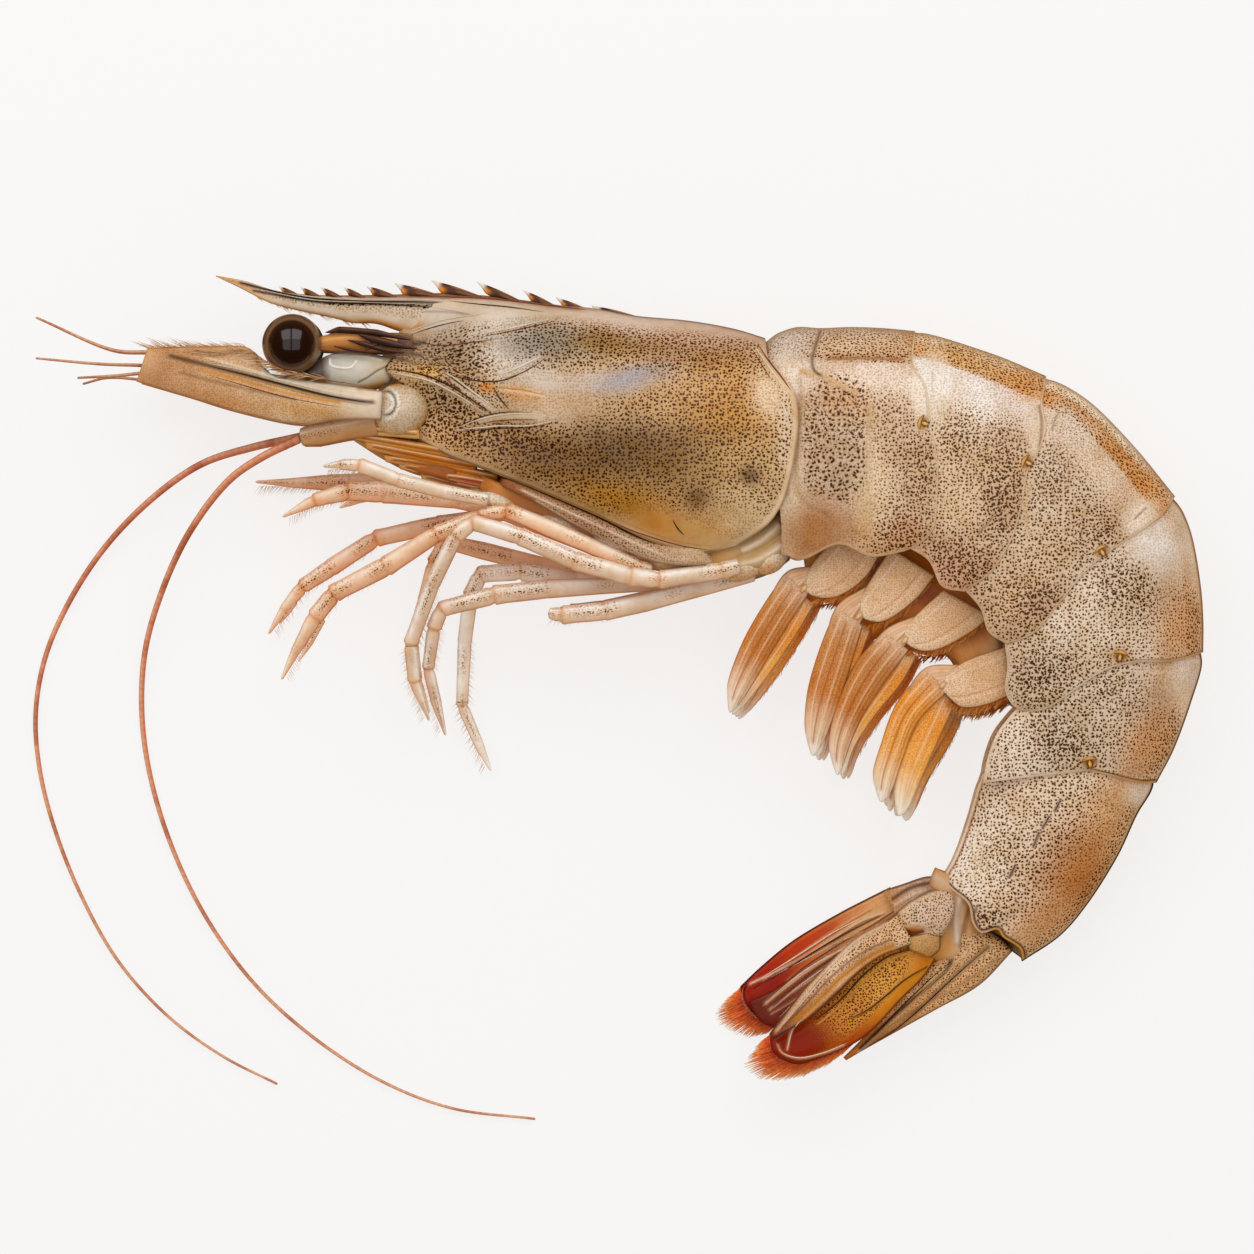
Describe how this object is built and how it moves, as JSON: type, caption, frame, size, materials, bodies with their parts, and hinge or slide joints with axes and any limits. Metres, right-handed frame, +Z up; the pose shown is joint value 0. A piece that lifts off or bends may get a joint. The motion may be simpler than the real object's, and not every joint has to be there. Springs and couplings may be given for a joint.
{
  "type": "raw shrimp",
  "caption": "Whole raw shrimp with head, shell and legs on, lying on its side: curled jointed abdomen with a tail fan, swimming and walking legs, toothed rostrum and long swept feelers.",
  "frame": {"origin": "centre of the bounding box, on the ground the shrimp lies on", "axes": "+X from the head towards the bend of the abdomen, +Y from the legs towards the back, +Z up, out of the left side"},
  "size_m": [0.1176, 0.0848, 0.0178],
  "materials": {
    "shell": "glossy, translucent grey-tan horny shell with dark brown speckles",
    "soft_skin": "wet, translucent pale brown skin",
    "tail": "glossy, amber to dark red blades with orange bristles",
    "swimming_leg": "translucent orange blades, paler at the tips",
    "walking_leg": "translucent pale peach with orange edges",
    "feeler": "smooth red-orange",
    "eye": "polished black-brown"
  },
  "bodies": {
    "root": {"carapace": "shell", "abdomen_segment_1": "shell", "abdomen_segment_2": "shell", "abdomen_segment_3": "shell", "abdomen_segment_4": "shell", "abdomen_segment_5": "shell", "abdomen_segment_6": "shell", "breast": "soft_skin", "mouth_field": "soft_skin", "telson": "tail", "uropod_protopod_left": "tail", "uropod_exopod_left": "tail", "uropod_endopod_left": "tail", "uropod_protopod_right": "tail", "uropod_exopod_right": "tail", "uropod_endopod_right": "tail", "pleopod_1_left": "swimming_leg", "pleopod_1_right": "swimming_leg", "pleopod_2_left": "swimming_leg", "pleopod_2_right": "swimming_leg", "pleopod_3_left": "swimming_leg", "pleopod_3_right": "swimming_leg", "pleopod_4_left": "swimming_leg", "pleopod_4_right": "swimming_leg", "pleopod_5_left": "swimming_leg", "pleopod_5_right": "swimming_leg", "maxilliped_left": "walking_leg", "maxilliped_right": "walking_leg", "leg_1_left": "walking_leg", "leg_1_right": "walking_leg", "leg_2_left": "walking_leg", "leg_2_right": "walking_leg", "leg_3_left": "walking_leg", "leg_3_right": "walking_leg", "leg_4_left": "walking_leg", "leg_4_right": "walking_leg", "leg_5_left": "walking_leg", "leg_5_right": "walking_leg", "eye_left": "eye", "eyestalk_left": "soft_skin", "antenna_base_left": "soft_skin", "antenna_stem_left": "walking_leg", "antennule_base_left": "soft_skin", "antennal_scale_left": "soft_skin", "eye_right": "eye", "eyestalk_right": "soft_skin", "antenna_base_right": "soft_skin", "antenna_stem_right": "walking_leg", "antennule_base_right": "soft_skin", "antennal_scale_right": "soft_skin", "antenna_left_flagellum": "feeler", "antenna_right_flagellum": "feeler", "antennule_outer_left_flagellum": "feeler", "antennule_inner_left_flagellum": "feeler", "antennule_outer_right_flagellum": "feeler", "antennule_inner_right_flagellum": "feeler"}
  },
  "joints": []
}
